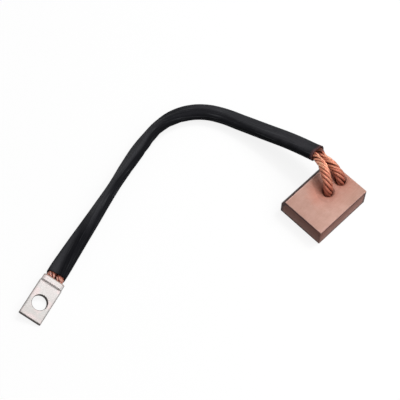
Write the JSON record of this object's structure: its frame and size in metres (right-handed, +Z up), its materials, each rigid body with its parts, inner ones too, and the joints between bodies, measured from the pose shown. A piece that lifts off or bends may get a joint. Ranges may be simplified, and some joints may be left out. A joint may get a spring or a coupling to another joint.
{
  "type": "carbon brush",
  "caption": "Rectangular copper-graphite brush block with stranded copper pigtails in a flat black sleeve, ending in a tinned cable terminal with a stud hole.",
  "frame": {"origin": "middle of the block's underside, the broad face without pigtails", "axes": "+X along the block's length, from the contact face to its other end; +Y across its width, towards the bevelled edge that the pigtails cross; +Z up through its thickness, out of the face that the pigtails leave"},
  "size_m": [0.14, 0.0909, 0.0185],
  "materials": {
    "copper_graphite": "matte sintered copper-graphite, ground faces",
    "tamping_powder": "matte pressed copper powder",
    "copper_strands": "bright fine copper strands",
    "black_sleeving": "soft black sleeving, low sheen",
    "tinned_copper": "tin-plated copper"
  },
  "bodies": {
    "root": {"brush_block": "copper_graphite", "tamping_powder_front": "tamping_powder", "tamping_powder_rear": "tamping_powder", "pigtail_front": "copper_strands", "pigtail_rear": "copper_strands", "insulating_sleeve": "black_sleeving", "cable_terminal": "tinned_copper"}
  },
  "joints": []
}
